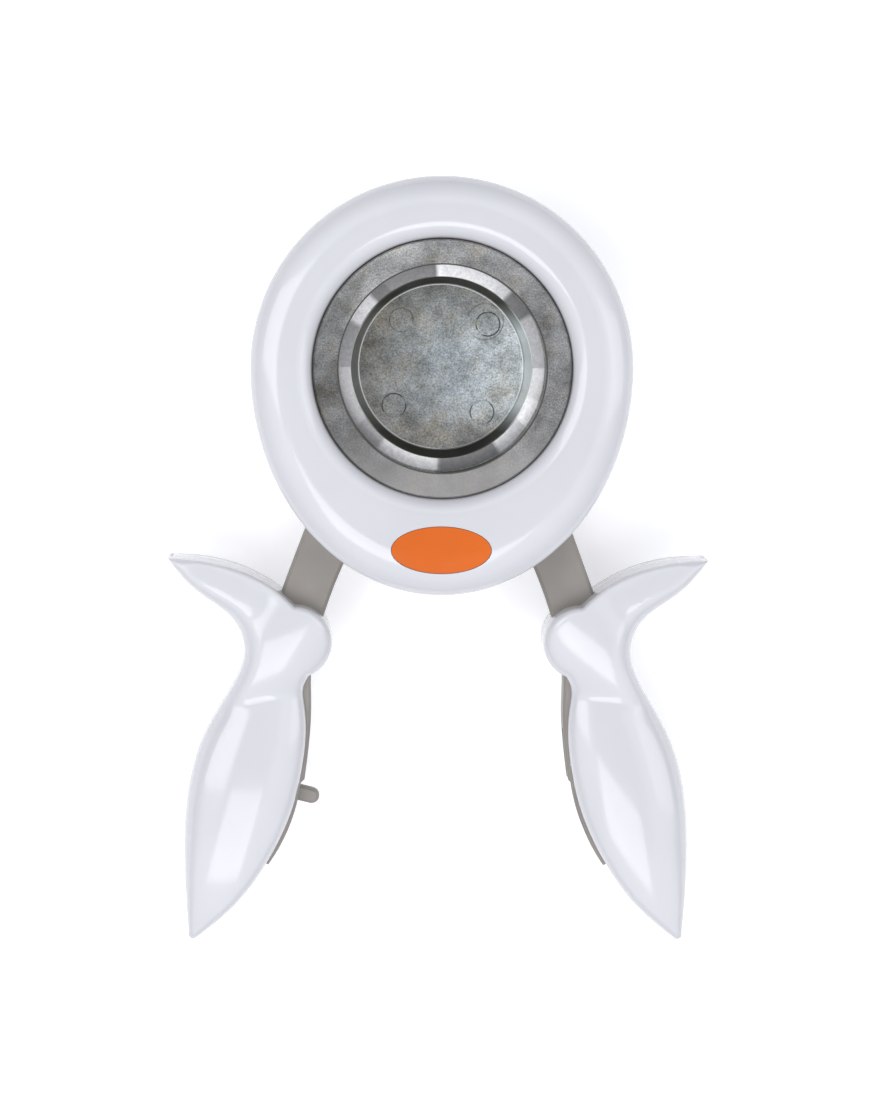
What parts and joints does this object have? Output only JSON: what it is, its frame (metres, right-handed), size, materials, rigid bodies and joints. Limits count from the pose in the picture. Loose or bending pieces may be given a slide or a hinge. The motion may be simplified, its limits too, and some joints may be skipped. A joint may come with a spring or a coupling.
{
  "type": "craft punch",
  "caption": "Hand-squeezed craft punch: two spring-return levers lift a round punch through a paper throat into a die ring.",
  "frame": {"origin": "where the die's axis meets the resting face of the back cover", "axes": "+Z along the punch stroke, out of the die ring; -Y towards the handles; the two levers mirror each other across X = 0"},
  "size_m": [0.136, 0.1928, 0.0458],
  "materials": {
    "white_plastic": "glossy moulded white plastic",
    "orange_plastic": "smooth orange plastic",
    "grey_plastic": "fine-textured warm grey plastic",
    "cast_zinc": "as-cast zinc alloy, mottled, with ground cutting edges",
    "steel": "zinc-plated steel",
    "nylon": "natural engineering plastic"
  },
  "bodies": {
    "head": {"front_cover": "white_plastic", "badge": "orange_plastic", "die_plate": "cast_zinc", "throat_spacer": "cast_zinc", "guide_plate": "cast_zinc", "frame": "grey_plastic", "back_cover": "white_plastic", "cover_screws": "steel", "die_screws": "steel", "left_pivot_pin": "steel", "right_pivot_pin": "steel", "left_thrust_washer": "steel", "right_thrust_washer": "steel", "return_spring_1": "steel", "return_spring_2": "steel", "return_spring_3": "steel", "return_spring_4": "steel"},
    "punch_unit": {"punch": "cast_zinc", "punch_carrier": "nylon", "punch_screws": "steel", "left_follower": "steel", "right_follower": "steel"},
    "left_handle": {"left_lever": "grey_plastic", "left_pivot_bush": "nylon", "left_cam": "nylon", "left_grip_front": "white_plastic", "left_grip_back": "white_plastic", "left_grip_screws": "steel", "latch_pin": "steel"},
    "right_handle": {"right_lever": "grey_plastic", "right_pivot_bush": "nylon", "right_cam": "nylon", "right_grip_front": "white_plastic", "right_grip_back": "white_plastic", "right_grip_screws": "steel", "latch_keeper": "steel"},
    "latch_lever": {"latch": "grey_plastic"}
  },
  "joints": [
    {"name": "left_squeeze", "type": "hinge", "parent": "head", "child": "left_handle", "pos_m": [-0.02, -0.024, 0.018], "axis": [0, 0, 1], "range_deg": [0, 22], "stiffness_Nm_per_rad": 1, "springref_deg": -8.59},
    {"name": "right_squeeze", "type": "hinge", "parent": "head", "child": "right_handle", "pos_m": [0.02, -0.024, 0.018], "axis": [0, 0, 1], "range_deg": [-22, 0]},
    {"name": "punch_stroke", "type": "slide", "parent": "head", "child": "punch_unit", "axis": [0, 0, 1], "range_m": [0, 0.004], "deforming": ["return_spring_1", "return_spring_2", "return_spring_3", "return_spring_4"]},
    {"name": "latch_swing", "type": "hinge", "parent": "left_handle", "child": "latch_lever", "pos_m": [-0.0393, -0.097, 0.018], "axis": [0, 0, 1], "range_deg": [0, 18]}
  ],
  "couplings": [
    {"joint": "right_squeeze", "follows": "left_squeeze", "ratio": -1},
    {"joint": "punch_stroke", "follows": "left_squeeze", "m_per_rad": 0.010417}
  ]
}
